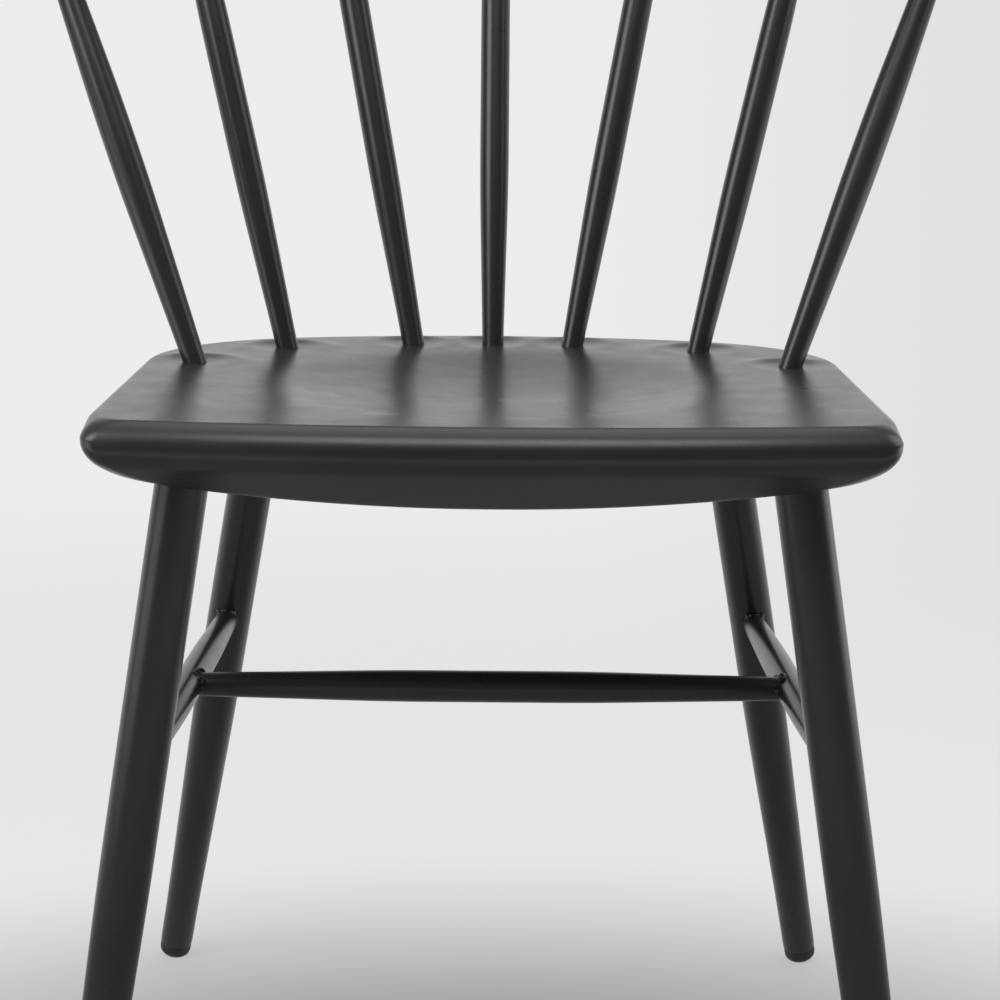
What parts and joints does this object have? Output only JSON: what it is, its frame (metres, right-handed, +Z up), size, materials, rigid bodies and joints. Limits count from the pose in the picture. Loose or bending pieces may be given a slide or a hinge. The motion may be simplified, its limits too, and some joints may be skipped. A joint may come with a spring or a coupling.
{
  "type": "dining chair",
  "caption": "Welded steel dining chair with a dished pressed seat, splayed tapered tube legs, an H stretcher and a curved back of tapered spindles",
  "frame": {"origin": "on the floor, under the middle of the chair's bounding box", "axes": "+Z up, the chair faces -Y, +X to the right as seen from the front"},
  "size_m": [0.6012, 0.4626, 0.8274],
  "materials": {
    "seat_coat": "satin powder coat",
    "frame_coat": "satin powder coat",
    "weld_coat": "satin powder coat over a weld bead",
    "inner_steel": "primed",
    "glide_plastic": "moulded"
  },
  "bodies": {
    "root": {"seat_top_pan": "seat_coat", "seat_bottom_pan": "seat_coat", "front_leg_rail": "inner_steel", "rear_leg_rail": "inner_steel", "spindle_band": "inner_steel", "front_left_leg": "frame_coat", "front_right_leg": "frame_coat", "rear_left_leg": "frame_coat", "rear_right_leg": "frame_coat", "front_left_glide": "glide_plastic", "front_right_glide": "glide_plastic", "rear_left_glide": "glide_plastic", "rear_right_glide": "glide_plastic", "left_side_stretcher": "frame_coat", "right_side_stretcher": "frame_coat", "cross_stretcher": "frame_coat", "spindle_1": "frame_coat", "spindle_2": "frame_coat", "spindle_3": "frame_coat", "spindle_4": "frame_coat", "spindle_5": "frame_coat", "spindle_6": "frame_coat", "spindle_7": "frame_coat", "crest_rail": "frame_coat", "crest_left_cap": "frame_coat", "crest_right_cap": "frame_coat", "leg_welds": "weld_coat", "side_stretcher_welds": "weld_coat", "cross_stretcher_welds": "weld_coat", "spindle_welds": "weld_coat", "crest_welds": "weld_coat"}
  },
  "joints": []
}
